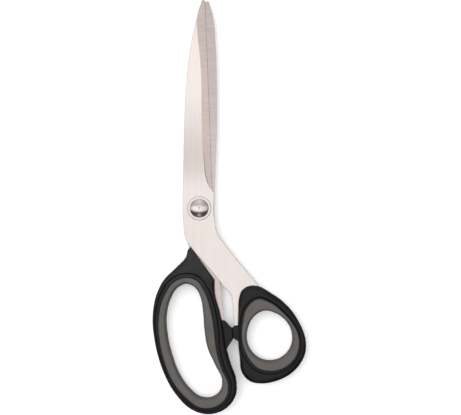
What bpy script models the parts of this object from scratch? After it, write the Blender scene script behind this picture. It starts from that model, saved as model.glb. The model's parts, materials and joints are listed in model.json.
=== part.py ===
"""Fabric shears: two steel blades on an adjustable pivot, with two-colour moulded bows.

The shears lie flat and closed. X runs across them, Y towards the tips and Z up. The origin is the
middle of their footprint, on the surface that they lie on, and the outlines below are measured from
the pivot's axis. The thumb half is the upper one: its blade crosses over the finger blade at the
pivot. The finger half carries the bolt, its washers and its nut.
"""

import math

import bmesh
import bpy
from mathutils import Matrix, Vector

# Lengths in this file are in millimetres, and become metres where an object is made.
MM = 0.001

# Driving dimensions
FOOTPRINT_CENTRE = (19.58, 1.35)  # from the pivot's axis
HANDLE_THICKNESS = 13.0
BLADE_THICKNESS = 3.0
EDGE_LAND = 0.3  # what the grinding leaves at the cutting edge
BEVEL_WIDTH = 5.2  # from the cutting edge to the ridge, seen from above
RUN_OUT_LENGTH = 21.0  # of the bevel's round end at the heel
RUN_OUT_WIDTH = 6.0
RUN_OUT_STEPS = 12
FACE_GAP = 0.1  # between two flat faces that slide on each other
MOULD_GAP = 0.3  # between a moulding and what it is moulded round

SHEAR_PLANE = HANDLE_THICKNESS / 2
THUMB_BLADE_BASE = SHEAR_PLANE + FACE_GAP / 2
FINGER_BLADE_BASE = SHEAR_PLANE - FACE_GAP / 2 - BLADE_THICKNESS

# The bows
RIM_ROUNDING = 2.2
GRIP_THICKNESS = 12.0
GRIP_EDGE = 0.6  # how far down the grip's outer edge is rounded
GRIP_CROWN = 3.6  # how far down its crown runs into the opening's side
LIP_THICKNESS = 6.0  # the black ring's inner tongue, which the grip is moulded round
LIP_REACH = 0.5  # as a share of the way from the grip's outline to the opening
SLOT_CLEARANCE = 0.06
STOP_THICKNESS = 8.4
STOP_ROUNDING = 0.8

# The pivot
BOLT_HEAD_RADIUS = 6.0
BOLT_HEAD_HEIGHT = 2.4
BOLT_HEAD_RIM = 0.35
SHOULDER_RADIUS = 3.0
NECK_HALF_WIDTH = 2.3  # between the axis and each of the neck's two flats
THREAD_RADIUS = 2.0
THREAD_CHAMFER = 0.3
BOLT_END = 0.4  # the height of its lower end
RUNNING_CLEARANCE = 0.08
HEAD_WASHER_RADIUS = 7.8
HEAD_WASHER_THICKNESS = 0.8
SLIP_WASHER_RADIUS = 7.0
SLIP_WASHER_THICKNESS = 0.45
SLIP_SEAT = SHEAR_PLANE - SLIP_WASHER_THICKNESS - FACE_GAP / 4
SPRING_WASHER_RADIUS = 4.6
SPRING_WASHER_THICKNESS = 0.45
SPRING_WASHER_CONE = 0.2
NUT_ACROSS_FLATS = 7.0
NUT_THICKNESS = 2.1
NUT_CHAMFER = 0.35
TANG_HOLE_RADIUS = 1.6
PLUG_RADIUS = TANG_HOLE_RADIUS - MOULD_GAP

# A third number, CORNER, marks a point where an outline turns sharply.
CORNER = 1

# Cutting edges, from the heel to where the tip starts to curve in
THUMB_EDGE = ((8.5, 11.2), (4.0, 126.0))
FINGER_EDGE = ((-9.1, 11.2), (2.8, 126.0))

THUMB_BLADE_OUTLINE = [
    (2.8, 136.2), (3.6, 135.2), (3.9, 131.0),
    (*THUMB_EDGE[1], CORNER), (*THUMB_EDGE[0], CORNER), (9.6, 10.2, CORNER), (9.7, -7.0),
    (12.0, -17.0), (16.5, -23.4), (37.9, -49.6, CORNER), (37.4, -53.0), (33.2, -57.6),
    (29.8, -62.0), (27.8, -68.0), (26.8, -75.0), (26.2, -80.5), (25.0, -82.0), (23.7, -80.4),
    (22.6, -73.0), (21.7, -61.0), (21.0, -56.8), (18.9, -53.7), (16.1, -51.0), (12.8, -46.7), (3.2, -35.6),
    (-6.2, -24.4), (-9.0, -19.2), (-10.4, -8.0), (-10.4, 20.0), (-10.0, 46.0), (-8.1, 84.0),
    (-5.3, 107.5), (-2.0, 122.5), (0.4, 131.8),
]
FINGER_BLADE_OUTLINE = [
    (5.4, 135.0), (7.2, 131.3), (9.0, 124.0), (10.4, 108.0), (11.3, 80.0), (11.3, 54.0),
    (10.1, 21.0), (9.6, -4.0), (10.2, -18.0), (13.0, -45.5), (14.4, -57.0), (15.9, -71.0),
    (16.3, -81.0), (14.4, -84.8), (12.3, -82.0), (11.3, -75.0), (9.7, -66.0), (6.9, -56.5),
    (3.0, -48.5), (-2.4, -42.4), (-5.4, -37.0), (-5.4, -29.5), (-7.6, -22.5), (-9.6, -15.0),
    (-10.2, -6.0), (-10.0, 10.4, CORNER), (*FINGER_EDGE[0], CORNER), (*FINGER_EDGE[1], CORNER),
    (3.5, 131.3), (4.1, 134.7),
]
THUMB_TANG_HOLES = [(31.6, -54.6)]
FINGER_TANG_HOLES = [(-1.0, -37.2), (5.6, -48.4)]

THUMB_BOW_OUTLINE = [
    (25.9, -57.6), (27.4, -53.7), (30.8, -51.0), (35.0, -50.1), (39.5, -51.2), (46.2, -55.0),
    (54.2, -60.6), (60.9, -67.7), (66.0, -76.2), (69.1, -85.5), (69.0, -93.5), (64.8, -102.1),
    (57.6, -108.7), (48.6, -112.6), (40.0, -113.8), (33.4, -112.6), (28.8, -108.6),
    (26.8, -104.4, CORNER), (26.3, -97.8), (25.4, -90.0), (25.1, -79.0), (25.3, -67.0),
]
THUMB_GRIP_OUTLINE = [
    (38.0, -58.8), (45.5, -60.9), (54.0, -67.2), (61.0, -75.2), (64.6, -84.0), (63.6, -94.0),
    (57.6, -101.8), (47.8, -105.4), (37.8, -103.4), (31.0, -95.4), (27.6, -84.5),
    (28.1, -75.0), (31.6, -63.4),
]
THUMB_OPENING = [
    (42.6, -66.8), (49.0, -68.1), (54.8, -71.8), (59.0, -77.6), (60.4, -84.2), (58.8, -91.0),
    (54.0, -96.4), (46.4, -98.9), (39.0, -97.2), (33.6, -92.2), (31.1, -85.6), (31.6, -78.4),
    (35.9, -70.3),
]
THUMB_STOP = [(27.6, -75.4), (23.2, -76.2), (21.7, -78.1), (22.6, -84.4), (26.0, -87.0), (27.6, -87.0)]

FINGER_BOW_OUTLINE = [
    (-6.5, -25.6, CORNER), (-8.6, -31.6), (-15.0, -38.4), (-23.2, -46.7), (-28.2, -57.3),
    (-30.2, -70.8), (-28.7, -86.5), (-24.1, -103.6), (-16.1, -119.2), (-5.1, -130.3),
    (6.1, -133.5), (17.2, -129.9), (23.9, -120.8), (23.9, -111.2), (20.6, -101.6),
    (17.7, -91.0), (15.8, -79.0), (13.1, -66.8), (10.3, -56.6), (9.7, -46.7, CORNER),
]
FINGER_GRIP_OUTLINE = [
    (-9.2, -45.0), (-2.0, -46.6), (3.0, -53.2), (7.2, -65.0), (9.4, -77.0), (10.9, -90.5),
    (14.4, -103.6), (18.8, -114.6), (17.2, -123.0), (9.8, -128.8), (0.8, -129.2),
    (-8.6, -122.8), (-17.0, -112.6), (-22.6, -99.5), (-25.9, -85.0), (-26.3, -70.0),
    (-22.8, -56.8), (-16.6, -47.9),
]
FINGER_OPENING = [
    (-8.2, -49.3), (-2.9, -51.7), (0.6, -57.8), (2.3, -67.4), (3.2, -79.2), (5.4, -91.4),
    (10.2, -102.0), (14.8, -112.8), (13.4, -118.8), (7.8, -122.8), (0.8, -122.4),
    (-6.2, -117.0), (-12.6, -108.0), (-17.2, -96.4), (-20.4, -83.2), (-21.2, -70.4),
    (-18.9, -59.6), (-14.2, -51.9),
]
FINGER_STOP = [(14.0, -72.6), (16.8, -73.5), (21.3, -78.3), (22.1, -84.6), (17.6, -91.6), (14.4, -91.6)]

COLOURS = {
    # name: (colour, roughness, metallic)
    "blade_steel": ((0.78, 0.76, 0.74), 0.3, 1.0),
    "pivot_steel": ((0.72, 0.71, 0.70), 0.15, 1.0),
    "black_moulding": ((0.018, 0.018, 0.02), 0.5, 0.0),
    "grey_grip": ((0.14, 0.13, 0.12), 0.8, 0.0),
    "slip_washer": ((0.85, 0.85, 0.80), 0.5, 0.0),
}


def clear_scene():
    for obj in list(bpy.data.objects):
        bpy.data.objects.remove(obj)


def new_collection(name):
    collection = bpy.data.collections.new(name)
    bpy.context.scene.collection.children.link(collection)
    return collection


def material(name):
    found = bpy.data.materials.get(name)
    if found:
        return found
    colour, roughness, metallic = COLOURS[name]
    made = bpy.data.materials.new(name)
    made.use_nodes = True
    shader = made.node_tree.nodes["Principled BSDF"]
    shader.inputs["Base Color"].default_value = (*colour, 1.0)
    shader.inputs["Roughness"].default_value = roughness
    shader.inputs["Metallic"].default_value = metallic
    return made


# Outlines, as clockwise lists of points


def tangent(before, here, after):
    """The direction of a smooth curve at a point, which leans towards the nearer neighbour."""
    arriving, leaving = here - before, after - here
    return (arriving / arriving.length_squared + leaving / leaving.length_squared).normalized()


def smooth(points, steps=3):
    """A closed outline through the points: straight between two corners, and curved elsewhere."""
    result = []
    for i in range(len(points)):
        before, start, end, after = (points[(i + k) % len(points)] for k in (-1, 0, 1, 2))
        start_sharp, end_sharp = len(start) == 3, len(end) == 3
        before, start, end, after = (Vector(point[:2]) for point in (before, start, end, after))
        chord = end - start
        leave = chord if start_sharp else tangent(before, start, end) * chord.length
        arrive = chord if end_sharp else tangent(start, end, after) * chord.length
        for k in range(1 if start_sharp and end_sharp else steps):
            t = k / steps
            # A cubic Hermite curve
            point = start * (2 * t**3 - 3 * t**2 + 1) + end * (3 * t**2 - 2 * t**3)
            point += leave * (t**3 - 2 * t**2 + t) + arrive * (t**3 - t**2)
            result.append((point.x, point.y))
    return result


def blend(outline, other, share):
    """The outline part of the way to another one with as many points."""
    return [
        (a[0] + share * (b[0] - a[0]), a[1] + share * (b[1] - a[1]))
        for a, b in zip(outline, other)
    ]


def offset(outline, distance):
    """The outline moved outwards."""
    moved = []
    for i, point in enumerate(outline):
        here = Vector(point)
        arriving = (here - Vector(outline[i - 1])).normalized()
        leaving = (Vector(outline[(i + 1) % len(outline)]) - here).normalized()
        along = (arriving + leaving).normalized()
        outwards = Vector((-along.y, along.x)) / max(along.dot(leaving), 0.5)
        moved.append(tuple(here + outwards * distance))
    return moved


def arc(radius, start, end, steps):
    """Points on an arc round the pivot's axis, from one angle to another, in radians."""
    turn = [start + (end - start) * i / steps for i in range(steps + 1)]
    return [(radius * math.cos(a), radius * math.sin(a)) for a in turn]


def circle(centre, radius, steps=24):
    return [(centre[0] + x, centre[1] + y) for x, y in arc(radius, 0, math.tau, steps)[:-1]]


def double_d(radius, half_width, steps=12):
    """A circle cut off by two flats."""
    start = math.asin(half_width / radius)
    right = arc(radius, -start, start, steps)
    return right + [(-x, -y) for x, y in right]


def plate(name, loops, base, thickness):
    """A flat piece as a mesh, standing on the height base. Loops inside the first are holes."""
    curve = bpy.data.curves.new(name, "CURVE")
    curve.dimensions = "2D"
    curve.fill_mode = "BOTH"
    curve.extrude = thickness / 2 * MM
    for points in loops:
        spline = curve.splines.new("POLY")
        spline.use_cyclic_u = True
        spline.points.add(len(points) - 1)
        for knot, (x, y) in zip(spline.points, points):
            knot.co = (x * MM, y * MM, 0, 1)
    outline = bpy.data.objects.new(name + "_outline", curve)
    bpy.context.scene.collection.objects.link(outline)
    outline.location.z = (base + thickness / 2) * MM
    bpy.context.view_layer.update()
    mesh = bpy.data.meshes.new_from_object(outline.evaluated_get(bpy.context.evaluated_depsgraph_get()))
    mesh.transform(outline.matrix_world)
    bpy.data.objects.remove(outline)
    shape = bmesh.new()
    shape.from_mesh(mesh)
    bmesh.ops.remove_doubles(shape, verts=shape.verts, dist=1e-7)
    # The filled faces come as triangles, and become one face where there is no hole.
    bmesh.ops.dissolve_limit(shape, angle_limit=math.radians(0.1), verts=shape.verts, edges=shape.edges)
    bmesh.ops.recalc_face_normals(shape, faces=shape.faces)
    shape.to_mesh(mesh)
    shape.free()
    return bpy.data.objects.new(name, mesh)


def loft(name, outer, inner, section, capped=False):
    """A ring lofted between two outlines, or with caps a solid core.

    Its section is (share of the way from outer to inner, height) points.
    """
    mesh = bpy.data.meshes.new(name)
    shape = bmesh.new()
    rows = []
    for share, height in section:
        loop = blend(outer, inner, share)
        rows.append([shape.verts.new((x * MM, y * MM, height * MM)) for x, y in loop])
    if capped:
        shape.faces.new(rows[0])
        shape.faces.new(rows[-1])
    for row, following in zip(rows, rows[1:] + ([] if capped else rows[:1])):
        for i in range(len(row)):
            shape.faces.new((row[i - 1], row[i], following[i], following[i - 1]))
    bmesh.ops.recalc_face_normals(shape, faces=shape.faces)
    shape.to_mesh(mesh)
    shape.free()
    return bpy.data.objects.new(name, mesh)


# Objects


def keep(obj, parent, material_name):
    """Puts a finished piece in the shears' collection, under its parent."""
    PARTS.objects.link(obj)
    obj.parent = parent
    obj.data.materials.clear()
    obj.data.materials.append(material(material_name))
    obj.data.shade_smooth()
    obj.data.set_sharp_from_angle(angle=math.radians(30))
    return obj


def boolean(obj, other, operation):
    """Cuts, joins or intersects a piece with a helper shape, which moves with it and isn't rendered."""
    CUTTERS.objects.link(other)
    other.parent = obj
    other.hide_render = True
    other.display_type = "WIRE"
    step = obj.modifiers.new(other.name, "BOOLEAN")
    step.operation = operation
    step.object = other


def cut(obj, cutter):
    boolean(obj, cutter, "DIFFERENCE")


def round_rims(obj, width):
    """Rounds the edges between the flat faces and the walls."""
    step = obj.modifiers.new("rounding", "BEVEL")
    step.width = width * MM
    step.segments = 2
    step.limit_method = "ANGLE"
    step.angle_limit = math.radians(60)
    step.use_clamp_overlap = False
    return obj


def turned(name, profile, steps=40):
    """A turned piece. The profile is (radius, height) points, down its outer side and back up its bore."""
    mesh = bpy.data.meshes.new(name)
    last = len(profile)
    closed = profile[0][0] > 0
    edges = [(i, i + 1) for i in range(last - 1)] + ([(last - 1, 0)] if closed else [])
    mesh.from_pydata([(r * MM, 0, z * MM) for r, z in profile], edges, [])
    obj = bpy.data.objects.new(name, mesh)
    step = obj.modifiers.new("turning", "SCREW")
    step.axis = "Z"
    step.steps = step.render_steps = steps
    step.use_merge_vertices = True
    step.merge_threshold = 1e-6
    return obj


def box(name, low, high):
    mesh = bpy.data.meshes.new(name)
    shape = bmesh.new()
    size = Vector(high) - Vector(low)
    middle = (Vector(high) + Vector(low)) / 2
    place = Matrix.Translation(middle * MM) @ Matrix.Diagonal((*(size * MM), 1))
    bmesh.ops.create_cube(shape, size=1, matrix=place)
    shape.to_mesh(mesh)
    shape.free()
    return bpy.data.objects.new(name, mesh)


# Blades


def grinding(name, edge, side, up):
    """The shape that grinding the bevel takes away: a slab lying on the bevel, round at the heel.

    side is the sign of X from the blade's middle to its cutting edge, and up that of Z from its inner
    face to its outer one.
    """
    heel, tip = Vector(edge[0]), Vector(edge[1])
    along = tip - heel
    end = [i * math.pi / 2 / RUN_OUT_STEPS for i in range(RUN_OUT_STEPS + 1)]
    # x runs along the edge here, and y from the edge towards the spine.
    outline = [(RUN_OUT_LENGTH * (1 - math.cos(a)), RUN_OUT_WIDTH * math.sin(a)) for a in end]
    outline += [(2 * along.length, RUN_OUT_WIDTH), (2 * along.length, -RUN_OUT_WIDTH), (0, -RUN_OUT_WIDTH)]
    slab = plate(name, [outline], 0, 2 * BLADE_THICKNESS)
    slope = math.atan2(BLADE_THICKNESS - EDGE_LAND, BEVEL_WIDTH)
    mirrored = Matrix.Diagonal((1, side, up, 1))
    turned_along = Matrix.Rotation(math.atan2(along.y, along.x), 4, "Z")
    inner_face = SHEAR_PLANE + up * FACE_GAP / 2
    place = Matrix.Translation(Vector((heel.x, heel.y, inner_face + up * EDGE_LAND)) * MM)
    slab.data.transform(place @ turned_along @ mirrored @ Matrix.Rotation(slope, 4, "X"))
    if side * up < 0:
        slab.data.flip_normals()
    return slab


def thumb_blade(parent):
    holes = [circle((0, 0), SHOULDER_RADIUS + RUNNING_CLEARANCE, 48)]
    holes += [circle(centre, TANG_HOLE_RADIUS) for centre in THUMB_TANG_HOLES]
    blade = plate("thumb_blade", [smooth(THUMB_BLADE_OUTLINE)] + holes, THUMB_BLADE_BASE, BLADE_THICKNESS)
    cut(blade, grinding("thumb_blade_grinding", THUMB_EDGE, side=1, up=1))
    return keep(blade, parent, "blade_steel")


def finger_blade(parent):
    holes = [double_d(SHOULDER_RADIUS + RUNNING_CLEARANCE, NECK_HALF_WIDTH + RUNNING_CLEARANCE)]
    holes += [circle(centre, TANG_HOLE_RADIUS) for centre in FINGER_TANG_HOLES]
    outline = smooth(FINGER_BLADE_OUTLINE)
    blade = plate("finger_blade", [outline] + holes, FINGER_BLADE_BASE, BLADE_THICKNESS)
    cut(blade, grinding("finger_blade_grinding", FINGER_EDGE, side=-1, up=-1))
    seat_radius = SLIP_WASHER_RADIUS + MOULD_GAP
    seat = [(0, HANDLE_THICKNESS), (seat_radius, HANDLE_THICKNESS), (seat_radius, SLIP_SEAT), (0, SLIP_SEAT)]
    cut(blade, turned("slip_washer_seat", seat))
    return keep(blade, parent, "blade_steel")


# Bows


def bow(name, parent, outlines, stop, tang, tang_base, plugs):
    """A black moulded ring with a stop, a tongue under its grip, and a pocket for the blade's tang."""
    outline, grip_outline, opening = (smooth(points) for points in outlines)
    body = round_rims(plate(name, [outline], 0, HANDLE_THICKNESS), RIM_ROUNDING)
    block = plate(name + "_stop", [stop], (HANDLE_THICKNESS - STOP_THICKNESS) / 2, STOP_THICKNESS)
    boolean(body, round_rims(block, STOP_ROUNDING), "UNION")
    low, high = (HANDLE_THICKNESS - LIP_THICKNESS) / 2, (HANDLE_THICKNESS + LIP_THICKNESS) / 2
    seat = [(0, HANDLE_THICKNESS + 1), (0, high), (LIP_REACH, high), (LIP_REACH, low), (0, low), (0, -1)]
    cut(body, loft(name + "_grip_seat", grip_outline, opening, seat, capped=True))
    pocket = [offset(smooth(tang), MOULD_GAP)] + [circle(centre, PLUG_RADIUS, 16) for centre in plugs]
    cut(body, plate(name + "_tang_pocket", pocket, tang_base - MOULD_GAP, BLADE_THICKNESS + 2 * MOULD_GAP))
    return keep(body, parent, "black_moulding")


def grip(name, parent, outlines):
    """The soft ring inside a bow, with a slot all round for the bow's tongue."""
    opening = smooth(outlines[2])
    grip_outline = offset(smooth(outlines[1]), -MOULD_GAP)
    high = (HANDLE_THICKNESS + GRIP_THICKNESS) / 2
    slot_high = (HANDLE_THICKNESS + LIP_THICKNESS) / 2 + MOULD_GAP
    slot_end = LIP_REACH + SLOT_CLEARANCE
    # From the slot, up the outside, over the crown, down the opening's side and back to the slot
    upper = [(slot_end, slot_high), (0, slot_high), (0, high - GRIP_EDGE), (0.1, high)]
    quarter = [i * math.pi / 6 for i in range(4)]
    upper += [(0.5 + 0.5 * math.sin(a), high - GRIP_CROWN * (1 - math.cos(a))) for a in quarter]
    lower = [(share, HANDLE_THICKNESS - height) for share, height in reversed(upper)]
    return keep(loft(name, grip_outline, opening, upper + lower), parent, "grey_grip")


# Pivot


def pivot_bolt(parent):
    """A bolt with a domed head, a round shoulder, a neck with two flats, and a thread."""
    seat = THUMB_BLADE_BASE + BLADE_THICKNESS + FACE_GAP + HEAD_WASHER_THICKNESS + FACE_GAP
    neck_top = SLIP_SEAT + 2 * FACE_GAP
    neck_end = FINGER_BLADE_BASE + FACE_GAP
    dome_height = BOLT_HEAD_HEIGHT - BOLT_HEAD_RIM
    dome = [
        (BOLT_HEAD_RADIUS * math.sin(a), seat + BOLT_HEAD_RIM + dome_height * math.cos(a))
        for a in [math.pi / 2 * i / 8 for i in range(9)]
    ]
    profile = dome + [
        (BOLT_HEAD_RADIUS, seat), (SHOULDER_RADIUS, seat), (SHOULDER_RADIUS, neck_end),
        (THREAD_RADIUS, neck_end), (THREAD_RADIUS, BOLT_END + THREAD_CHAMFER),
        (THREAD_RADIUS - THREAD_CHAMFER, BOLT_END), (0, BOLT_END),
    ]
    bolt = turned("pivot_bolt", profile)
    for sign in (-1, 1):
        near, far = sign * NECK_HALF_WIDTH, sign * (SHOULDER_RADIUS + 1)
        low = (-5, min(near, far), neck_end - FACE_GAP / 2)
        high = (5, max(near, far), neck_top)
        cut(bolt, box(f"neck_flat_{'front' if sign < 0 else 'back'}", low, high))
    return keep(bolt, parent, "pivot_steel")


def flat_washer(name, parent, outer, bore, base, thickness, material_name, chamfer=0.15):
    top = base + thickness
    profile = [
        (outer - chamfer, top), (outer, top - chamfer), (outer, base), (bore, base), (bore, top),
    ]
    return keep(turned(name, profile), parent, material_name)


def head_washer(parent):
    return flat_washer(
        "head_washer", parent, HEAD_WASHER_RADIUS, SHOULDER_RADIUS + RUNNING_CLEARANCE,
        THUMB_BLADE_BASE + BLADE_THICKNESS + FACE_GAP, HEAD_WASHER_THICKNESS, "pivot_steel",
    )


def slip_washer(parent):
    return flat_washer(
        "slip_washer", parent, SLIP_WASHER_RADIUS, SHOULDER_RADIUS + RUNNING_CLEARANCE,
        SHEAR_PLANE - SLIP_WASHER_THICKNESS, SLIP_WASHER_THICKNESS, "slip_washer", chamfer=0.05,
    )


def spring_washer(parent):
    """A coned washer between the finger blade and the nut, which keeps the pivot tight."""
    top = FINGER_BLADE_BASE - FACE_GAP
    bore = THREAD_RADIUS + RUNNING_CLEARANCE
    profile = [
        (SPRING_WASHER_RADIUS, top), (SPRING_WASHER_RADIUS, top - SPRING_WASHER_THICKNESS),
        (bore, top - SPRING_WASHER_THICKNESS - SPRING_WASHER_CONE), (bore, top - SPRING_WASHER_CONE),
    ]
    return keep(turned("spring_washer", profile), parent, "pivot_steel")


def pivot_nut(parent):
    """A thin hexagon nut with its corners turned down on both faces."""
    top = FINGER_BLADE_BASE - 2 * FACE_GAP - SPRING_WASHER_THICKNESS - SPRING_WASHER_CONE
    base = top - NUT_THICKNESS
    corner = NUT_ACROSS_FLATS / 2 / math.cos(math.pi / 6)
    bore = THREAD_RADIUS + RUNNING_CLEARANCE
    reach = corner - NUT_CHAMFER * 2
    profile = [
        (reach, top), (corner + 0.1, top - NUT_CHAMFER), (corner + 0.1, base + NUT_CHAMFER), (reach, base),
        (bore, base), (bore, top),
    ]
    nut = turned("pivot_nut", profile)
    sides = plate("nut_sides", [circle((0, 0), corner, 6)], base - 1, NUT_THICKNESS + 2)
    boolean(nut, sides, "INTERSECT")
    return keep(nut, parent, "pivot_steel")


def empty(name, parent=None):
    made = bpy.data.objects.new(name, None)
    PARTS.objects.link(made)
    made.parent = parent
    return made


clear_scene()
PARTS = new_collection("fabric_shears")
CUTTERS = new_collection("cutters")

# Each half's empty stands on the pivot's axis.
finger_half = empty("finger_half")
finger_half.location = (-FOOTPRINT_CENTRE[0] * MM, -FOOTPRINT_CENTRE[1] * MM, 0)
thumb_half = empty("thumb_half", finger_half)

finger_blade(finger_half)
finger_outlines = (FINGER_BOW_OUTLINE, FINGER_GRIP_OUTLINE, FINGER_OPENING)
bow(
    "finger_bow", finger_half, finger_outlines, FINGER_STOP,
    FINGER_BLADE_OUTLINE, FINGER_BLADE_BASE, FINGER_TANG_HOLES,
)
grip("finger_grip", finger_half, finger_outlines)
pivot_bolt(finger_half)
head_washer(finger_half)
slip_washer(finger_half)
spring_washer(finger_half)
pivot_nut(finger_half)

thumb_blade(thumb_half)
thumb_outlines = (THUMB_BOW_OUTLINE, THUMB_GRIP_OUTLINE, THUMB_OPENING)
bow(
    "thumb_bow", thumb_half, thumb_outlines, THUMB_STOP,
    THUMB_BLADE_OUTLINE, THUMB_BLADE_BASE, THUMB_TANG_HOLES,
)
grip("thumb_grip", thumb_half, thumb_outlines)
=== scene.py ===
"""Looks of the fabric shears: brushed and ground steel, black mouldings and soft grey grips.

Lengths are in millimetres and outlines are measured from the pivot's axis, as in the CAD model.
Heights come from the frame.
"""

import json
import math

import bmesh
import bpy
from mathutils import Matrix, Vector
from mathutils.geometry import tessellate_polygon


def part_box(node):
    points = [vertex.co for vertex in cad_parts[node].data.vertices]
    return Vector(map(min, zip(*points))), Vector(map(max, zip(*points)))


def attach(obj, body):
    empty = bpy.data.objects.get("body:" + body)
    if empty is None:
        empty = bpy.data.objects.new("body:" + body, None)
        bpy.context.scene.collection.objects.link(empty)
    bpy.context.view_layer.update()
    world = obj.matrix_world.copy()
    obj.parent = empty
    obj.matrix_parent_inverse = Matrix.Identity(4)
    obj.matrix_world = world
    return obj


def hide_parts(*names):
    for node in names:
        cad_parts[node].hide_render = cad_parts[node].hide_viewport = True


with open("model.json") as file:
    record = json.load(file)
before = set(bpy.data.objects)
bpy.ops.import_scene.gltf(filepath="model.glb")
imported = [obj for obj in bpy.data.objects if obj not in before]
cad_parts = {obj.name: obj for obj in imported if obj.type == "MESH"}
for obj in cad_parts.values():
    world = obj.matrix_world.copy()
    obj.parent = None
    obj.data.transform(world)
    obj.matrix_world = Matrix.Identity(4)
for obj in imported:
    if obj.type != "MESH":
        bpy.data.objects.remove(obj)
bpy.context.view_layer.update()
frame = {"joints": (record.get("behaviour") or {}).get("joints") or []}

MM = 0.001
SHARP = math.radians(20)  # edges that turn more than this stay sharp
MERGE = 0.004  # points closer than this are merged in a finished piece
PIVOT = Vector(frame["joints"][0]["pos_m"])
AXIS = Vector((PIVOT.x, PIVOT.y, 0))


def heights(node):
    """The lowest and highest level of a CAD node, in millimetres."""
    low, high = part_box(node)
    return low.z / MM, high.z / MM


BOW_LOW, BOW_HIGH = heights("finger_bow")
_, GRIP_HIGH = heights("finger_grip")
THUMB_BLADE_LOW, THUMB_BLADE_HIGH = heights("thumb_blade")
FINGER_BLADE_LOW, FINGER_BLADE_HIGH = heights("finger_blade")
BOLT_LOW, BOLT_HIGH = heights("pivot_bolt")
WASHER_LOW, WASHER_HIGH = heights("head_washer")
MIDDLE = (BOW_LOW + BOW_HIGH) / 2

# Blades
BLADE_THICKNESS = THUMB_BLADE_HIGH - THUMB_BLADE_LOW
# The bevel along a blade, as (distance from the heel, width, height of its lower side above the inner face)
BEVEL = [
    (-20, 5.15, 0.3), (44, 5.25, 0.3), (58, 4.9, 0.45), (70, 4.4, 0.6), (84, 4.4, 0.6), (91, 4.9, 0.45),
    (98, 5.6, 0.3), (111, 6.1, 0.25), (150, 6.3, 0.25),
]
BEVEL_STEP = 4  # between the places where the bevel's width and height are worked out
WHEEL_OUT = -6  # what grinds the bevel reaches out past the edge
WHEEL_IN = 8  # and in from it
WHEEL_SPARE = 20  # and on past the tip
HONED_DROP = 0.14  # from the bevel's lower side down to that of the honed edge
HONED_SLOPE = math.radians(50)
RUN_OUT_ROUNDING = 0.9
SPINE_ROUNDING = 0.3
INNER_EDGE_ROUNDING = 0.08

# Bows
LIP_ROUNDING = 0.35
LIP_DROP = 0.3  # how far the lip beside the grip is below the bow's face
GROOVE_HALF_WIDTH = 0.3
GROOVE_SHALLOW = 0.35
GROOVE_DEEP = 2.0
FACE_MARGIN = 0.65  # from the middle of the groove to the bow's flat face
RIM_REACH = 3.0  # how far in the rounded rim reaches, where there is room
RIM_DROP = 3.4
RIM_END = 1.03  # the rim's last row is a little further in, which keeps the face flat
LEAST_REACH = 0.35
LEAST_FACE = 0.25
SHEER_REACH = 1.3  # where the finger bow stands beside the shank
SHEER_LENGTH = 1.05  # how far along the sheer side that holds, as a share of it
SHEER_WIDENING = 1.2  # how fast the rim grows with the distance from that side
SHEER_END_WIDENING = 0.8
POINT_REACH = 0.12  # at the point beside the pivot
POINT_WIDENING = 0.25
NECK = (-46.0, -27.0)  # where the finger bow grows thinner towards the pivot
NECK_TAPER = 0.16
STOP_HALF_HEIGHT = 4.2
STOP_ROUNDING = 0.9
TANG_PLAY = 0.1
GRIP_GAP = 0.01
# The grip's upper half, as distances in from its outline or from its opening, and down from its top
GRIP_EDGE = [(0, 6.0), (0, 0.9), (0.06, 0.5), (0.22, 0.26), (0.5, 0.1), (0.9, 0.03)]
GRIP_SIDE = [
    (2.3, 0), (1.85, 0.08), (1.5, 0.3), (1.2, 0.7), (0.95, 1.25), (0.72, 1.95), (0.52, 2.75),
    (0.34, 3.65), (0.19, 4.6), (0.07, 5.4), (0, 6.0),
]

# Pivot
HEAD_RADIUS = 6.1
HEAD_RIM = 0.3  # the height of the head's upright side
HEAD_GAP = 0.1  # above its washer
HEAD_CHAMFER = 0.08
DIMPLE_RADIUS = 1.1
DIMPLE_DEPTH = 0.22
SHOULDER_RADIUS = 3.0
SHOULDER_PLAY = 0.08
THREAD_RADIUS = 2.0
THREAD_ROOT = 1.7
THREAD_START = 0.5  # below the lower blade's underside
THREAD_TURNS = 3
THREAD_PITCH = 0.7
THREAD_POINT = 0.3
WASHER_BORE = 3.1
HEAD_WASHER_RADIUS = 7.72
SLIP_WASHER_RADIUS = 7.0
SEAT_PLAY = 0.15
SEAT_GAP = 0.02
SPRING_THICKNESS = 0.45
SPRING_BORE, SPRING_RADIUS = 2.15, 4.6
NUT_ACROSS = 7.0
NUT_CHAMFER = 0.4
NUT_THREAD = 2.05

CORNER = 1  # a third number that marks a point where an outline turns sharply

# The edges, each from its heel to its tip
THUMB_EDGE = ((8.5, 11.2), (4.0, 126.0))
FINGER_EDGE = ((-9.1, 11.2), (2.8, 126.0))
THUMB_BLADE = [
    (2.8, 136.2), (3.6, 135.2), (3.9, 131.0),
    (*THUMB_EDGE[1], CORNER), (*THUMB_EDGE[0], CORNER), (9.6, 10.2, CORNER), (9.7, -7.0),
    (12.0, -17.0), (16.5, -23.4), (37.9, -49.6, CORNER), (37.4, -53.0), (33.2, -57.6),
    (29.8, -62.0), (27.8, -68.0), (26.8, -75.0), (26.2, -80.5), (25.0, -82.0), (23.7, -80.4),
    (22.6, -73.0), (21.7, -61.0), (21.0, -56.8), (18.9, -53.7), (16.1, -51.0), (12.8, -46.7), (3.2, -35.6),
    (-6.2, -24.4), (-9.0, -19.2), (-10.4, -8.0), (-10.4, 20.0), (-10.0, 46.0), (-8.1, 84.0),
    (-5.3, 107.5), (-2.0, 122.5), (0.4, 131.8),
]
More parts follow.
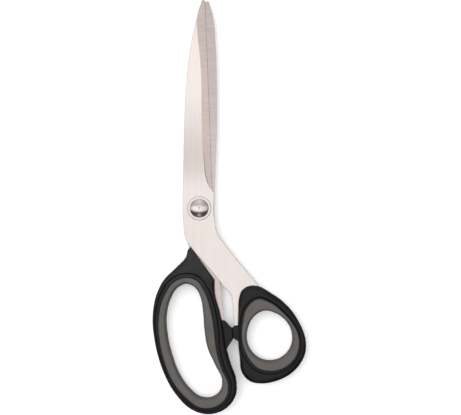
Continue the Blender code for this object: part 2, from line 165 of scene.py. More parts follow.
FINGER_BLADE = [
    (5.4, 135.0), (7.2, 131.3), (9.0, 124.0), (10.4, 108.0), (11.3, 80.0), (11.3, 54.0),
    (10.1, 21.0), (9.6, -4.0), (10.2, -18.0), (13.0, -45.5), (14.4, -57.0), (15.9, -71.0),
    (16.3, -81.0), (14.4, -84.8), (12.3, -82.0), (11.3, -75.0), (9.7, -66.0), (6.9, -56.5),
    (3.0, -48.5), (-2.4, -42.4), (-5.4, -37.0), (-5.4, -29.5), (-7.6, -22.5), (-9.6, -15.0),
    (-10.2, -6.0), (-10.0, 10.4, CORNER), (*FINGER_EDGE[0], CORNER), (*FINGER_EDGE[1], CORNER),
    (3.5, 131.3), (4.1, 134.7),
]
# The ends of the bevel and of the honed edge at the heel, as distances along the edge and in from it
HONED_END = [(0.8, WHEEL_OUT), (0.8, 0), (2.0, 1.0, CORNER), (4.0, 2.0, CORNER)]
RUN_OUT = [
    (0, WHEEL_OUT), (0, 0, CORNER), (1.2, 1.9), (5.0, 3.8), (9.5, 4.9), (13.4, 5.5), (18.0, 5.7),
    (22.0, 6.0),
]

THUMB_BOW = [
    (25.9, -57.6), (27.4, -53.7), (30.8, -51.0), (35.0, -50.1), (39.5, -51.2), (46.2, -55.0),
    (54.2, -60.6), (60.9, -67.7), (66.0, -76.2), (69.1, -85.5), (69.0, -93.5), (64.8, -102.1),
    (57.6, -108.7), (48.6, -112.6), (40.0, -113.8), (33.4, -112.6), (28.8, -108.6),
    (26.9, -104.6), (26.3, -97.8), (25.4, -90.0), (25.1, -79.0), (25.3, -67.0),
]
THUMB_GRIP = [
    (38.0, -58.8), (45.5, -60.9), (54.0, -67.2), (61.0, -75.2), (64.6, -84.0), (63.6, -94.0),
    (57.6, -101.8), (47.8, -105.4), (37.8, -103.4), (31.0, -95.4), (27.6, -84.5),
    (28.1, -75.0), (31.6, -63.4),
]
THUMB_OPENING = [
    (42.6, -66.8), (49.0, -68.1), (54.8, -71.8), (59.0, -77.6), (60.4, -84.2), (58.8, -91.0),
    (54.0, -96.4), (46.4, -98.9), (39.0, -97.2), (33.6, -92.2), (31.1, -85.6), (31.6, -78.4),
    (35.9, -70.3),
]
THUMB_STOP = [(27.6, -75.4), (23.2, -76.2), (21.33, -78.1), (22.13, -84.4), (26.0, -87.0), (27.6, -87.0)]

FINGER_BOW = [
    (-5.7, -25.2, CORNER), (-6.7, -26.1), (-8.7, -31.6), (-15.0, -38.4), (-23.2, -46.7), (-28.2, -57.3),
    (-30.2, -70.8), (-28.7, -86.5), (-24.1, -103.6), (-16.1, -119.2), (-5.1, -130.3),
    (6.1, -133.5), (17.2, -129.9), (23.9, -120.8), (23.9, -111.2), (20.6, -101.6),
    (17.7, -91.0), (15.8, -79.0), (13.1, -66.8), (10.3, -56.6), (9.9, -46.7, CORNER),
]
FINGER_GRIP = [
    (-9.2, -45.0), (-2.0, -46.6), (3.0, -53.2), (7.2, -65.0), (9.4, -77.0), (10.9, -90.5),
    (14.4, -103.6), (18.8, -114.6), (17.2, -123.0), (9.8, -128.8), (0.8, -129.2),
    (-8.6, -122.8), (-17.0, -112.6), (-22.6, -99.5), (-25.9, -85.0), (-26.3, -70.0),
    (-22.8, -56.8), (-16.6, -47.9),
]
FINGER_OPENING = [
    (-8.2, -49.3), (-2.9, -51.7), (0.6, -57.8), (2.3, -67.4), (3.2, -79.2), (5.4, -91.4),
    (10.2, -102.0), (14.8, -112.8), (13.4, -118.8), (7.8, -122.8), (0.8, -122.4),
    (-6.2, -117.0), (-12.6, -108.0), (-17.2, -96.4), (-20.4, -83.2), (-21.2, -70.4),
    (-18.9, -59.6), (-14.2, -51.9),
]
FINGER_STOP = [(14.0, -72.6), (16.8, -73.5), (21.3, -78.3), (22.1, -84.6), (17.6, -91.6), (14.4, -91.6)]


# Outlines, as clockwise lists of points


def clockwise(outline):
    turned = sum(outline[i - 1].cross(outline[i]) for i in range(len(outline)))
    return outline if turned < 0 else outline[::-1]


def tangent(before, here, after):
    """The direction of a smooth curve at a point, which leans towards the nearer neighbour."""
    arriving, leaving = here - before, after - here
    return (arriving / arriving.length_squared + leaving / leaving.length_squared).normalized()


def smooth(points, steps=10):
    """A closed outline through the points: straight between two corners, and curved elsewhere."""
    result = []
    for i in range(len(points)):
        before, start, end, after = (points[(i + k) % len(points)] for k in (-1, 0, 1, 2))
        start_sharp, end_sharp = len(start) == 3, len(end) == 3
        before, start, end, after = (Vector(point[:2]) for point in (before, start, end, after))
        chord = end - start
        leave = chord if start_sharp else tangent(before, start, end) * chord.length
        arrive = chord if end_sharp else tangent(start, end, after) * chord.length
        for k in range(1 if start_sharp and end_sharp else steps):
            t = k / steps
            # A cubic Hermite curve
            point = start * (2 * t**3 - 3 * t**2 + 1) + end * (3 * t**2 - 2 * t**3)
            point += leave * (t**3 - 2 * t**2 + t) + arrive * (t**3 - t**2)
            result.append(point)
    return clockwise(result)


def offset(outline, distances):
    """The outline moved outwards, by one distance or by one for each point."""
    if isinstance(distances, (int, float)):
        distances = [distances] * len(outline)
    moved = []
    for i, here in enumerate(outline):
        arriving = (here - outline[i - 1]).normalized()
        leaving = (outline[(i + 1) % len(outline)] - here).normalized()
        along = (arriving + leaving).normalized()
        outwards = Vector((-along.y, along.x)) / max(along.dot(leaving), 0.6)
        moved.append(here + outwards * distances[i])
    return moved


def nearest(point, outline):
    return min((point - other).length for other in outline)


def circle(radius, steps=64):
    turn = [-math.tau * i / steps for i in range(steps)]
    return [Vector((radius * math.cos(a), radius * math.sin(a))) for a in turn]


# Meshes


class Solid:
    """A closed mesh built from loops of points at given heights, in millimetres from the pivot's axis."""

    def __init__(self):
        self.shape = bmesh.new()

    def loop(self, outline, height):
        return [self.shape.verts.new((p.x, p.y, height)) for p in outline]

    def wall(self, loops, closed=False):
        """Joins loops with as many points, one to the next."""
        for one, other in zip(loops, loops[1:] + (loops[:1] if closed else [])):
            for i in range(len(one)):
                self.shape.faces.new((one[i - 1], one[i], other[i], other[i - 1]))

    def fill(self, *loops):
        """A flat face inside the first loop and outside the others."""
        verts = [v for loop in loops for v in loop]
        for corners in tessellate_polygon([[v.co for v in loop] for loop in loops]):
            self.shape.faces.new([verts[i] for i in corners])

    def finish(self, name):
        bmesh.ops.recalc_face_normals(self.shape, faces=self.shape.faces)
        mesh = bpy.data.meshes.new(name)
        self.shape.to_mesh(mesh)
        self.shape.free()
        mesh.transform(Matrix.Translation(AXIS) @ Matrix.Scale(MM, 4))
        obj = bpy.data.objects.new(name, mesh)
        bpy.context.scene.collection.objects.link(obj)
        return obj


def slab(name, outline, low, high, rounding=0.0, lower_rounding=0.0, holes=()):
    """A plate with its edges rounded, and with straight holes."""
    solid = Solid()
    quarter = [i * math.pi / 12 for i in range(7)]
    rows = []
    if rounding:
        rows += [(rounding * (1 - math.sin(a)), high - rounding * (1 - math.cos(a))) for a in quarter]
    else:
        rows.append((0, high))
    if lower_rounding:
        rows += [
            (lower_rounding * (1 - math.cos(a)), low + lower_rounding * (1 - math.sin(a))) for a in quarter
        ]
    else:
        rows.append((0, low))
    loops = [solid.loop(offset(outline, -inset), height) for inset, height in rows]
    solid.wall(loops)
    bores = [(solid.loop(hole, high), solid.loop(hole, low)) for hole in holes]
    for pair in bores:
        solid.wall(list(pair))
    solid.fill(loops[0], *[top for top, _ in bores])
    solid.fill(loops[-1], *[bottom for _, bottom in bores])
    return solid.finish(name)


def combine(obj, other, operation):
    """Cuts a piece with another shape or joins the two, and removes the other shape."""
    step = obj.modifiers.new("combine", "BOOLEAN")
    step.operation = operation
    step.object = other
    apply_modifiers(obj)
    bpy.data.objects.remove(other)


def apply_modifiers(obj):
    bpy.context.view_layer.update()
    evaluated = obj.evaluated_get(bpy.context.evaluated_depsgraph_get())
    mesh = bpy.data.meshes.new_from_object(evaluated)
    obj.modifiers.clear()
    obj.data = mesh


def clean(obj):
    """Merges the slivers that cutting leaves."""
    shape = bmesh.new()
    shape.from_mesh(obj.data)
    bmesh.ops.remove_doubles(shape, verts=shape.verts, dist=MERGE * MM)
    bmesh.ops.dissolve_degenerate(shape, edges=shape.edges, dist=MERGE * MM)
    shape.to_mesh(obj.data)
    shape.free()


def shade(obj):
    """Smooth shading in which large faces keep their own direction."""
    obj.data.shade_smooth()
    obj.data.set_sharp_from_angle(angle=SHARP)
    weighted = obj.modifiers.new("weighted", "WEIGHTED_NORMAL")
    weighted.keep_sharp = True
    apply_modifiers(obj)


def dress(obj, materials):
    obj.data.materials.clear()
    for made in materials:
        obj.data.materials.append(made)


def piece(obj, body, slot, node, *materials):
    """Finishes a piece that stands for a CAD node."""
    indices = [face.material_index for face in obj.data.polygons]
    dress(obj, materials)
    obj.data.polygons.foreach_set("material_index", indices)
    clean(obj)
    shade(obj)
    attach(obj, body)
    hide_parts(node)
    return obj


# Materials

# Painted light along the blades and the bows, as (millimetres from the pivot, level), set against the
# photo. The soft bands in the steel are painted reflections, and the black's greying is painted light.
STEEL_PAINTED_REFLECTION = [
    (-60, 0.84), (0, 0.83), (14, 0.88), (24, 0.72), (34, 0.68), (45, 0.735), (55, 0.8), (70, 0.91),
    (78, 0.93), (110, 0.92), (136, 0.88),
]
# Painted reflections along the bevel.
BEVEL_PAINTED_REFLECTION = [
    (-90, 0.74), (30, 0.73), (40, 0.76), (50, 0.78), (64, 0.74), (72, 0.81), (85, 0.825), (96, 0.79),
    (104, 0.73), (116, 0.67), (136, 0.66),
]
# Painted light: the black moulding greyer towards the pivot.
BLACK_PAINTED_LIGHT = [(-150, 0.25), (-58, 0.25), (-48, 0.45), (-40, 0.8), (-32, 0.9), (0, 0.9)]
# Painted light on the ground inner face: lightest on the tang, darker out along the blade.
INNER_PAINTED_LIGHT = [(-90, 1.0), (0, 1.0), (40, 0.97), (70, 0.88), (136, 0.9)]
NOISE_RANGE = (0.3, 0.7)


def curve(tree, value, stops):
    """A smooth curve of grey levels over a value, from (value, level) stops."""
    low, high = stops[0][0], stops[-1][0]
    span = tree.nodes.new("ShaderNodeMapRange")
    span.inputs["From Min"].default_value = low
    span.inputs["From Max"].default_value = high
    tree.links.new(value, span.inputs["Value"])
    ramp = tree.nodes.new("ShaderNodeValToRGB")
    ramp.color_ramp.interpolation = "B_SPLINE"
    while len(ramp.color_ramp.elements) < len(stops):
        ramp.color_ramp.elements.new(0.5)
    for element, (place, level) in zip(ramp.color_ramp.elements, stops):
        element.position = (place - low) / (high - low)
        element.color = (level, level, level, 1)
    tree.links.new(span.outputs["Result"], ramp.inputs["Fac"])
    return ramp.outputs["Color"]


def multiplied(tree, one, other):
    both = tree.nodes.new("ShaderNodeMix")
    both.data_type = "RGBA"
    both.blend_type = "MULTIPLY"
    both.inputs["Factor"].default_value = 1
    tree.links.new(one, both.inputs["A"])
    tree.links.new(other, both.inputs["B"])
    return both.outputs["Result"]


class Nodes:
    """A material's node tree, with short calls for the nodes used here."""

    def __init__(self, name):
        self.material = bpy.data.materials.new(name)
        self.material.use_nodes = True
        self.tree = self.material.node_tree
        self.shader = self.tree.nodes["Principled BSDF"]
        self.place = self.tree.nodes.new("ShaderNodeTexCoord").outputs["Object"]

    def link(self, output, target):
        self.tree.links.new(output, target)

    def scaled(self, scale):
        """Object coordinates divided by these numbers of millimetres."""
        mapping = self.tree.nodes.new("ShaderNodeMapping")
        mapping.vector_type = "TEXTURE"
        mapping.inputs["Scale"].default_value = [MM * s for s in scale]
        self.link(self.place, mapping.inputs["Vector"])
        return mapping.outputs["Vector"]

    def noise(self, scale, detail=3.0, roughness=0.55):
        """Noise whose grains are about this many millimetres each way."""
        noise = self.tree.nodes.new("ShaderNodeTexNoise")
        noise.inputs["Scale"].default_value = 1.0
        noise.inputs["Detail"].default_value = detail
        noise.inputs["Roughness"].default_value = roughness
        self.link(self.scaled(scale), noise.inputs["Vector"])
        return noise.outputs["Fac"]

    def span(self, value, low, high):
        """The usual range of noise, stretched from low to high."""
        span = self.tree.nodes.new("ShaderNodeMapRange")
        span.inputs["From Min"].default_value, span.inputs["From Max"].default_value = NOISE_RANGE
        span.inputs["To Min"].default_value, span.inputs["To Max"].default_value = low, high
        self.link(value, span.inputs["Value"])
        return span.outputs["Result"]

    def mix(self, factor, one, other):
        mix = self.tree.nodes.new("ShaderNodeMix")
        mix.data_type = "RGBA"
        mix.inputs["A"].default_value = (*one, 1)
        mix.inputs["B"].default_value = (*other, 1)
        self.link(factor, mix.inputs["Factor"])
        return mix.outputs["Result"]

    def along(self, stops):
        """A grey level that varies along Y, from (millimetres from the pivot, level) stops."""
        parts = self.tree.nodes.new("ShaderNodeSeparateXYZ")
        self.link(self.place, parts.inputs["Vector"])
        return curve(self.tree, parts.outputs["Y"], [(AXIS.y + y * MM, level) for y, level in stops])

    def bump(self, height, depth):
        """Bump of a depth in millimetres."""
        bump = self.tree.nodes.new("ShaderNodeBump")
        bump.inputs["Strength"].default_value = 1.0
        bump.inputs["Distance"].default_value = depth * MM
        self.link(height, bump.inputs["Height"])
        return bump.outputs["Normal"]

    def finish(self, colour, roughness, normal, **fixed):
        self.link(colour, self.shader.inputs["Base Color"])
        self.link(roughness, self.shader.inputs["Roughness"])
        self.link(normal, self.shader.inputs["Normal"])
        for name, number in fixed.items():
            self.shader.inputs[name.replace("_", " ")].default_value = number
        return self.material


def brushed_steel():
    """Satin steel brushed along the blades, with painted reflections in bands along them."""
    n = Nodes("brushed_steel")
    grain = n.noise((0.12, 14, 4), detail=4)
    streaks = n.noise((1.1, 45, 20), detail=3)
    colour = n.mix(n.span(streaks, 0, 1), (0.63, 0.57, 0.542), (0.666, 0.602, 0.574))
    colour = multiplied(n.tree, colour, n.along(STEEL_PAINTED_REFLECTION))
    roughness = n.span(grain, 0.34, 0.46)
    return n.finish(colour, roughness, n.bump(grain, 0.0016), Metallic=1.0)


def ground_steel(name, dark, light, roughness, painted_light_stops):
    """Steel from a grinding wheel, with lines across the edge and painted light along the blade."""
    n = Nodes(name)
    lines = n.noise((9, 0.16, 9), detail=5, roughness=0.65)
    bands = n.noise((8, 1.1, 9), detail=3)
    colour = multiplied(n.tree, n.mix(n.span(bands, 0, 1), dark, light), n.along(painted_light_stops))
    return n.finish(colour, n.span(lines, *roughness), n.bump(lines, 0.003), Metallic=1.0)


def polished_steel():
    n = Nodes("polished_steel")
    fine = n.noise((0.5, 0.5, 0.5), detail=4)
    smears = n.noise((3, 3, 3), detail=2)
    colour = n.mix(n.span(smears, 0, 1), (0.46, 0.417, 0.403), (0.505, 0.459, 0.443))
    roughness = n.span(fine, 0.10, 0.17)
    return n.finish(colour, roughness, n.bump(fine, 0.0006), Metallic=1.0)


def black_moulding():
    """Black nylon with an eroded mould's fine texture and marks from handling, and painted light that greys
    it towards the pivot.
    """
    n = Nodes("black_moulding")
    texture = n.noise((0.22, 0.22, 0.22), detail=3)
    marks = n.noise((7, 7, 7), detail=4)
    colour = n.mix(n.span(marks, 0, 1), (0.0095, 0.0095, 0.0105), (0.029, 0.028, 0.0285))
    colour = multiplied(n.tree, colour, n.along(BLACK_PAINTED_LIGHT))
    roughness = n.span(marks, 0.34, 0.52)
    return n.finish(colour, roughness, n.bump(texture, 0.012), Specular_IOR_Level=0.175)


def grey_rubber():
    """Soft grey rubber with a matt grain."""
    n = Nodes("grey_rubber")
    grain = n.noise((0.3, 0.3, 0.3), detail=4)
    marks = n.noise((5, 5, 5), detail=3)
    colour = n.mix(n.span(marks, 0, 1), (0.085, 0.079, 0.0735), (0.104, 0.097, 0.0905))
    roughness = n.span(marks, 0.66, 0.82)
    return n.finish(colour, roughness, n.bump(grain, 0.018), Specular_IOR_Level=0.3)


def white_nylon():
    n = Nodes("white_nylon")
    grain = n.noise((0.4, 0.4, 0.4), detail=3)
    colour = n.mix(n.span(grain, 0, 1), (0.74, 0.74, 0.70), (0.82, 0.82, 0.78))
    return n.finish(colour, n.span(grain, 0.45, 0.6), n.bump(grain, 0.004))


# Blades


def bevel_at(distance):
    """The bevel's width and height at a distance from the heel, smoothed along the edge."""
    reach = 2 * BEVEL_STEP
    places = [distance + reach * share for share in (-1, -0.5, 0, 0.5, 1)]
    found = []
    for place in places:
        for start, end in zip(BEVEL, BEVEL[1:]):
            if start[0] <= place <= end[0]:
                share = (place - start[0]) / (end[0] - start[0])
                found.append(Vector(start[1:]).lerp(Vector(end[1:]), share))
                break
    return sum(found, Vector((0, 0))) / len(found)


def flat_wheel(run_out, length):
    """A slab along X with the edge on its axis and a rounded end at the heel, cut into short lengths."""
    end = smooth([*run_out, (length, WHEEL_IN, CORNER), (length, WHEEL_OUT, CORNER)], 6)
    solid = Solid()
    quarter = [i * math.pi / 16 for i in range(9)]
    rows = [(-RUN_OUT_ROUNDING * (1 - math.sin(a)), RUN_OUT_ROUNDING * (1 - math.cos(a))) for a in quarter]
    loops = [solid.loop(offset(end, inset), height) for inset, height in rows]
    loops.append(solid.loop(end, 2 * BLADE_THICKNESS))
    solid.wall(loops)
    solid.fill(loops[0])
    solid.fill(loops[-1])
    shape = solid.shape
    for place in range(BEVEL_STEP, int(length), BEVEL_STEP):
        whole = shape.verts[:] + shape.edges[:] + shape.faces[:]
        bmesh.ops.bisect_plane(shape, geom=whole, plane_co=(place, 0, 0), plane_no=(1, 0, 0))
    return solid


def tilt(vert, honed):
    """Lays a point of the flat wheel on the bevel, or on the honed edge."""
    width, start = bevel_at(vert.co.x)
    slope = math.atan2(BLADE_THICKNESS - start, width)
    if honed:
        slope, start = HONED_SLOPE, start - HONED_DROP
    vert.co = Matrix.Rotation(slope, 3, "X") @ vert.co + Vector((0, 0, start))


def wheel(edge, side, inner, up, run_out, honed):
    """What grinding takes off the blade along its edge, up or down from its inner face."""
    heel, tip = (Vector(point) for point in edge)
    along = tip - heel
    solid = flat_wheel(run_out, along.length + WHEEL_SPARE)
    for vert in solid.shape.verts:
        tilt(vert, honed)
    place = (
        Matrix.Translation((heel.x, heel.y, inner))
        @ Matrix.Rotation(math.atan2(along.y, along.x), 4, "Z")
        @ Matrix.Diagonal((1, side, up, 1))
    )
    bmesh.ops.transform(solid.shape, matrix=place, verts=solid.shape.verts)
    obj = solid.finish("wheel")
    for face in obj.data.polygons:
        face.material_index = 1
    return obj


def blade(name, outline, edge, side, low, high, up, body, node, materials, seat=None):
    """A blade with its edge on the given side and its outer face up (1) or down (-1)."""
    inner = low if up > 0 else high
    roundings = (SPINE_ROUNDING, INNER_EDGE_ROUNDING)
    upper, lower = roundings if up > 0 else reversed(roundings)
    obj = slab(name, smooth(outline), low, high, upper, lower, [circle(SHOULDER_RADIUS + SHOULDER_PLAY)])
    dress(obj, materials)
    combine(obj, wheel(edge, side, inner, up, RUN_OUT, honed=False), "DIFFERENCE")
    combine(obj, wheel(edge, side, inner, up, HONED_END, honed=True), "DIFFERENCE")
    if seat:
        combine(obj, seat, "DIFFERENCE")
    # Slot 0 is the brushed outer side, 1 the ground bevel and 2 the ground inner face.
    for face in obj.data.polygons:
        if up * face.normal.z < -0.9:
            face.material_index = 2
    return piece(obj, body, "blade_steel", node, *materials)


def washer_seat():
    """The shallow recess in the lower blade that holds the slip washer."""
    low, _ = heights("slip_washer")
    top = FINGER_BLADE_HIGH + 1
    return slab("washer_seat", circle(SLIP_WASHER_RADIUS + SEAT_PLAY), low - SEAT_GAP, top)


def blades():
    steel = brushed_steel()
    bevel = ground_steel(
        "ground_bevel", (0.836, 0.71, 0.653), (0.96, 0.82, 0.768), (0.36, 0.52), BEVEL_PAINTED_REFLECTION,
    )
    # Its darker colour is partly the ground finish and partly painted reflection, in place of a hollow grind
    # that is not modelled.
    inner = ground_steel(
        "ground_inner_face", (0.315, 0.273, 0.263), (0.36, 0.313, 0.300), (0.13, 0.21), INNER_PAINTED_LIGHT,
    )
    materials = (steel, bevel, inner)
    blade(
        "upper_blade", THUMB_BLADE, THUMB_EDGE, 1, THUMB_BLADE_LOW, THUMB_BLADE_HIGH, 1,
        "thumb_half", "thumb_blade", materials,
    )
    blade(
        "lower_blade", FINGER_BLADE, FINGER_EDGE, -1, FINGER_BLADE_LOW, FINGER_BLADE_HIGH, -1,
        "finger_half", "finger_blade", materials, washer_seat(),
    )


# Bows


class Groove:
    """The groove between a bow's face and its lip. It wanders to one side, and is deepest on another."""

    def __init__(self, opening, near, far, wide_side, deep_side):
        self.centre = sum(opening, Vector((0, 0))) / len(opening)
        self.near, self.far = near, far
        self.wide_side, self.deep_side = Vector(wide_side).normalized(), Vector(deep_side).normalized()

    def share(self, point, side):
        return (1 + (point - self.centre).normalized().dot(side)) / 2

    def distance(self, point, width):
        """From the grip's outline to the middle of the groove, where the bow is this wide."""
        wanted = self.near + (self.far - self.near) * self.share(point, self.wide_side)
        return min(wanted, width - FACE_MARGIN - LEAST_FACE - LEAST_REACH)

    def depth(self, point):
        return GROOVE_SHALLOW + (GROOVE_DEEP - GROOVE_SHALLOW) * self.share(point, self.deep_side) ** 2


def rim_reach(point, inner, groove, sheer):
    """How far in the rounded rim reaches: less where the bow is narrow, and little at the sheer side."""
    width = nearest(point, inner)
    reach = min(RIM_REACH, width - groove.distance(point, width) - FACE_MARGIN - LEAST_FACE)
    if sheer:
        start, end = (Vector(p) for p in sheer)
        along = (end - start).normalized()
        share = (point - start).dot(along) / (end - start).length
        away = abs((point - start).cross(along))
        if 0 < share < SHEER_LENGTH:
            reach = min(reach, SHEER_REACH + SHEER_WIDENING * away)
        else:
            to_end = min((point - start).length, (point - end).length)
            reach = min(reach, SHEER_REACH + SHEER_END_WIDENING * to_end)
        reach = min(reach, POINT_REACH + POINT_WIDENING * (point - start).length)
    return reach


def ring_face(solid, outer, inner, top, up, groove, sheer):
    """One side of a bow: rounded rim, flat face, groove and lip. Returns its first and last loop."""
    reach = [rim_reach(p, inner, groove, sheer) for p in outer]
    rim = []
    for i in range(9):
        a = i * math.pi / 16
        row = offset(outer, [-r * (1 - math.cos(a)) for r in reach])
        drops = [RIM_DROP * min(r / RIM_REACH, 1) * (1 - math.sin(a)) for r in reach]
        rim.append([solid.shape.verts.new((p.x, p.y, top - up * drop)) for p, drop in zip(row, drops)])
    rim.append(solid.loop(offset(outer, [-r * RIM_END for r in reach]), top))
    solid.wall(rim)
    half = GROOVE_HALF_WIDTH
    # Distances from the middle of the groove, depths below the face, and shares of the groove's own depth
    section = [
        (FACE_MARGIN, 0, 0), (half + 0.2, 0, 0), (half + 0.08, 0.03, 0), (half, 0.12, 0),
        (0.04, LIP_DROP, 1), (-0.04, LIP_DROP, 1), (-half, LIP_DROP + 0.12, 0),
        (-half - 0.08, LIP_DROP + 0.03, 0), (-half - 0.18, LIP_DROP, 0),
    ]
    middles = [groove.distance(p, nearest(p, outer)) for p in inner]
    rows = []
    for away, drop, dip in section:
        distances = [max(middle + away, LIP_ROUNDING + 0.02) for middle in middles]
        levels = [top - up * (drop + dip * groove.depth(p)) for p in inner]
        row = offset(inner, distances)
        rows.append([solid.shape.verts.new((p.x, p.y, level)) for p, level in zip(row, levels)])
    lip_top = top - up * LIP_DROP
    for distance, drop in ((LIP_ROUNDING, 0), (LIP_ROUNDING * 0.3, LIP_ROUNDING * 0.3), (0, LIP_ROUNDING)):
        rows.append(solid.loop(offset(inner, distance), lip_top - up * drop))
    solid.wall(rows)
    solid.fill(rim[-1], rows[0])
    return rim[0], rows[-1]


def thin_neck(solid):
    """Brings both faces of the bow closer to its middle towards the pivot."""
    start, end = NECK
    for vert in solid.shape.verts:
        share = min(max((vert.co.y - start) / (end - start), 0), 1)
        share *= share * (3 - 2 * share)
        vert.co.z = MIDDLE + (vert.co.z - MIDDLE) * (1 - NECK_TAPER * share)


def bow(name, outlines, groove, stop, tang, tang_low, tang_high, body, node, material, sheer=None):
    """A moulded ring with its stop, round a blade's tang."""
    outer, inner = smooth(outlines[0]), smooth(outlines[1])
    solid = Solid()
    upper_rim, upper_lip = ring_face(solid, outer, inner, BOW_HIGH, 1, groove, sheer)
    lower_rim, lower_lip = ring_face(solid, outer, inner, BOW_LOW, -1, groove, sheer)
    solid.wall([upper_rim, lower_rim])
    solid.wall([upper_lip, lower_lip])
    if sheer:
        thin_neck(solid)
    obj = solid.finish(name)
    block = clockwise([Vector(p) for p in stop])
    low, high = MIDDLE - STOP_HALF_HEIGHT, MIDDLE + STOP_HALF_HEIGHT
    combine(obj, slab("stop", block, low, high, STOP_ROUNDING, STOP_ROUNDING), "UNION")
    pocket = slab("pocket", offset(smooth(tang), TANG_PLAY), tang_low - TANG_PLAY, tang_high + TANG_PLAY)
    combine(obj, pocket, "DIFFERENCE")
    return piece(obj, body, "black_moulding", node, material)


def grip(name, outlines, body, node, material):
    """A soft ring: nearly flat on top, with a shoulder and a side that rounds into the opening."""
    outer = offset(smooth(outlines[1]), -GRIP_GAP)
    inner = smooth(outlines[2])
    widths = [(a - b).length for a, b in zip(outer, inner)]
    upper = [([inset / width for width in widths], GRIP_HIGH - drop) for inset, drop in GRIP_EDGE]
    upper += [([1 - inset / width for width in widths], GRIP_HIGH - drop) for inset, drop in GRIP_SIDE]
    lower = [(shares, 2 * MIDDLE - height) for shares, height in reversed(upper[1:-1])]
    solid = Solid()
    rows = []
    for shares, height in upper + lower:
        rows.append(solid.loop([a.lerp(b, share) for a, b, share in zip(outer, inner, shares)], height))
    solid.wall(rows, True)
    return piece(solid.finish(name), body, "grey_grip", node, material)


def bows():
    black, grey = black_moulding(), grey_rubber()
    thumb = (THUMB_BOW, THUMB_GRIP, THUMB_OPENING)
    finger = (FINGER_BOW, FINGER_GRIP, FINGER_OPENING)
    thumb_groove = Groove(smooth(THUMB_OPENING), 0.8, 2.1, (-0.8, -0.6), (0, 1))
    finger_groove = Groove(smooth(FINGER_OPENING), 1.3, 3.0, (0.5, 0.87), (0.5, 0.87))
    bow(
        "thumb_ring", thumb, thumb_groove, THUMB_STOP, THUMB_BLADE, THUMB_BLADE_LOW, THUMB_BLADE_HIGH,
        "thumb_half", "thumb_bow", black,
    )
    bow(
        "finger_ring", finger, finger_groove, FINGER_STOP, FINGER_BLADE, FINGER_BLADE_LOW, FINGER_BLADE_HIGH,
        "finger_half", "finger_bow", black, sheer=(FINGER_BOW[0][:2], FINGER_BOW[-1][:2]),
    )
    grip("thumb_soft_ring", thumb, "thumb_half", "thumb_grip", grey)
    grip("finger_soft_ring", finger, "finger_half", "finger_grip", grey)


# Pivot


def turned(name, profile, steps=96):
    """A turned solid. The profile is (radius, height) points from top to bottom, outside first.

    It ends on the axis at both ends, or goes back up its bore.
    """
    solid = Solid()
    loops = [solid.loop(circle(radius, steps), height) for radius, height in profile if radius > 0]
    solid.wall(loops, closed=profile[0][0] > 0)
    if profile[0][0] == 0:
        solid.fill(loops[0])
        solid.fill(loops[-1])
    return solid.finish(name)


def ring_washer():
    """The washer under the bolt's head, with a chamfer round its upper edge."""
    rim = HEAD_WASHER_RADIUS
    chamfer = [(rim - 0.32, 0), (rim - 0.27, 0.02), (rim - 0.02, 0.35), (rim, 0.4)]
    upper = [(radius, WASHER_HIGH - drop) for radius, drop in [(WASHER_BORE, 0), *chamfer]]
    return turned("ring_washer", upper + [(rim, WASHER_LOW), (WASHER_BORE, WASHER_LOW)])


def coned_washer():
    """A spring washer: a shallow cone that presses the blades together."""
    low, high = heights("spring_washer")
    thick, bore, rim = SPRING_THICKNESS, SPRING_BORE, SPRING_RADIUS
    edge = 0.08
    return turned("coned_washer", [
        (bore, high - edge), (bore + edge, high), (rim - edge, low + thick), (rim, low + thick - edge),
        (rim, low + edge), (rim - edge, low), (bore + edge, high - thick), (bore, high - thick + edge),
    ])


def hexagon_nut():
    """A thin nut with its corners turned down on both faces, and a chamfered thread."""
    low, high = heights("pivot_nut")
    corner = NUT_ACROSS / 2 / math.cos(math.pi / 6)
    obj = slab("hexagon_nut", circle(corner, 6), low, high)
    # Two cones, which start clear of the nut's own faces
    clear = 0.3
    face, wide = NUT_ACROSS / 2 - 0.1, corner + 0.1
    slope = (wide - face) / NUT_CHAMFER
    cones = [(face - clear * slope, high + clear), (wide, high - NUT_CHAMFER)]
    cones += [(radius, low + high - height) for radius, height in reversed(cones)]
    combine(obj, turned("cones", [(0, high + clear), *cones, (0, low - clear)]), "INTERSECT")
    # The bore's ends widen at 45 degrees
    bore = [(0, high + 1), (NUT_THREAD + 1 + clear, high + 1), (NUT_THREAD, high - clear)]
    bore += [(radius, low + high - height) for radius, height in reversed(bore)]
    combine(obj, turned("bore", bore), "DIFFERENCE")
    return obj


def plastic_washer():
    low, high = heights("slip_washer")
    edge = 0.06
    bore, rim = WASHER_BORE, SLIP_WASHER_RADIUS
    return turned("plastic_washer", [
        (bore, high - edge), (bore + edge, high), (rim - edge, high), (rim, high - edge),
        (rim, low + edge), (rim - edge, low), (bore + edge, low), (bore, low + edge),
    ])


def dome(low):
    """The outline of the head's top, from the middle of its dimple to its rim at this height."""
    rise = BOLT_HIGH - low
    ball = (HEAD_RADIUS**2 + rise**2) / (2 * rise)
    reach = math.asin(HEAD_RADIUS / ball)
    points = [(0, BOLT_HIGH - DIMPLE_DEPTH)]
    for share in [(i + 1) / 8 for i in range(6)]:
        drop = DIMPLE_DEPTH * (1 + math.cos(math.pi * share)) / 2
        points.append((DIMPLE_RADIUS * share, BOLT_HIGH - drop))
    for a in [reach * (0.1 + 0.9 * i / 24) for i in range(25)]:
        if ball * math.sin(a) > DIMPLE_RADIUS:
            points.append((ball * math.sin(a), BOLT_HIGH - ball * (1 - math.cos(a))))
    return points


